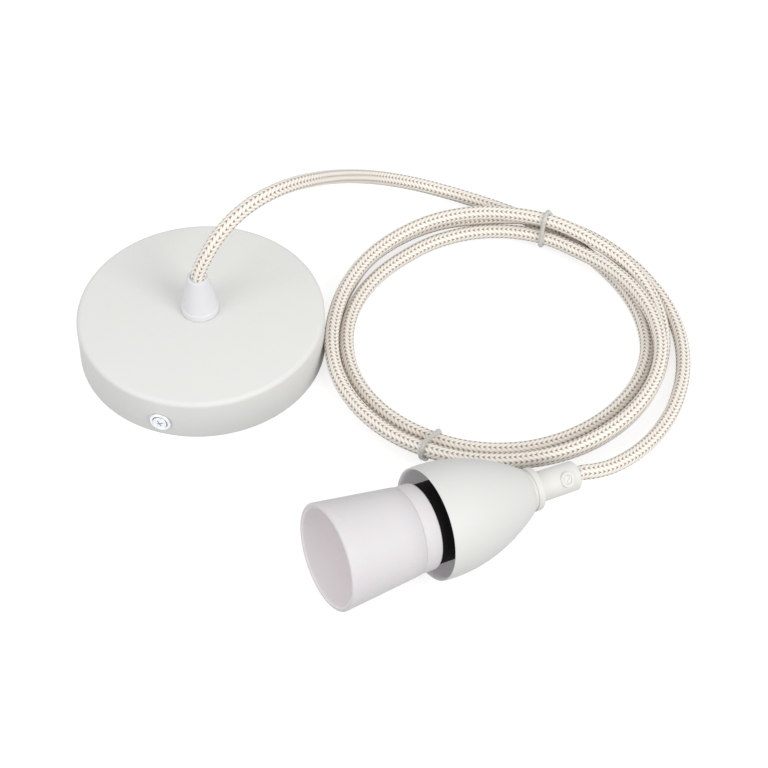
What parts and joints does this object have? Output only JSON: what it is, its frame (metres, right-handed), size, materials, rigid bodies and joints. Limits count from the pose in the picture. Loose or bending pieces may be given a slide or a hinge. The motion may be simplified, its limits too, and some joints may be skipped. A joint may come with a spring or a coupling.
{
  "type": "pendant cord set",
  "caption": "Pendant cord set: a round ceiling rose and a bell-covered screw-cap lampholder joined by a braided cord tied in a coil, lying on a surface.",
  "frame": {"origin": "centre of the ceiling side of the mounting bracket, in the plane of the rose's open rim, which rests on the surface", "axes": "+Z from the ceiling side of the rose towards its cord cone, +X from the rose towards the coil, +Y away from the lampholder"},
  "size_m": [0.2951, 0.2795, 0.0791],
  "materials": {
    "white_paint": "satin white powder coat",
    "white_plastic": "satin moulded plastic",
    "lilac_plastic": "satin moulded plastic, faintly lilac",
    "black_plastic": "matt moulded plastic",
    "ivory_plastic": "satin moulded plastic, faintly warm",
    "zinc_steel": "zinc plated",
    "nickel": "nickel plated sheet",
    "brass": "plain brass",
    "ceramic": "unglazed ceramic",
    "braid": "braided ivory textile with a light glossy fleck",
    "tie_nylon": "translucent off-white",
    "brown_wire": "insulated conductor",
    "blue_wire": "insulated conductor",
    "green_wire": "insulated conductor"
  },
  "bodies": {
    "root": {"rose_cup": "white_paint", "mounting_bracket": "zinc_steel", "side_screw_front": "zinc_steel", "side_screw_rear": "zinc_steel", "side_washer_front": "zinc_steel", "side_washer_rear": "zinc_steel", "rose_cord_cone": "white_plastic", "rose_cone_nut": "zinc_steel", "cord_end_in_rose": "braid", "terminal_block": "white_plastic", "block_foot_screw": "zinc_steel", "pole_screw_1": "brass", "pole_screw_2": "brass", "pole_screw_3": "brass", "live_wire_in_rose": "brown_wire", "neutral_wire_in_rose": "blue_wire", "earth_wire_in_rose": "green_wire", "front_sleeve": "lilac_plastic", "neck_ring": "lilac_plastic", "holder_body": "black_plastic", "holder_cap": "black_plastic", "bulb_screw_shell": "nickel", "holder_insulator": "ceramic", "centre_contact": "brass", "live_terminal_screw": "brass", "neutral_terminal_screw": "brass", "cord_end_in_holder": "braid", "live_wire_in_holder": "brown_wire", "neutral_wire_in_holder": "blue_wire", "bell_cover": "white_paint", "collar_nut": "ivory_plastic", "threaded_tube": "zinc_steel", "side_cord_grip": "ivory_plastic", "grip_grub_screw": "ivory_plastic", "cord_lead": "braid", "cord_tail": "braid", "cord_coil": "braid", "coil_tie_rear": "tie_nylon", "coil_tie_front": "tie_nylon"}
  },
  "joints": []
}
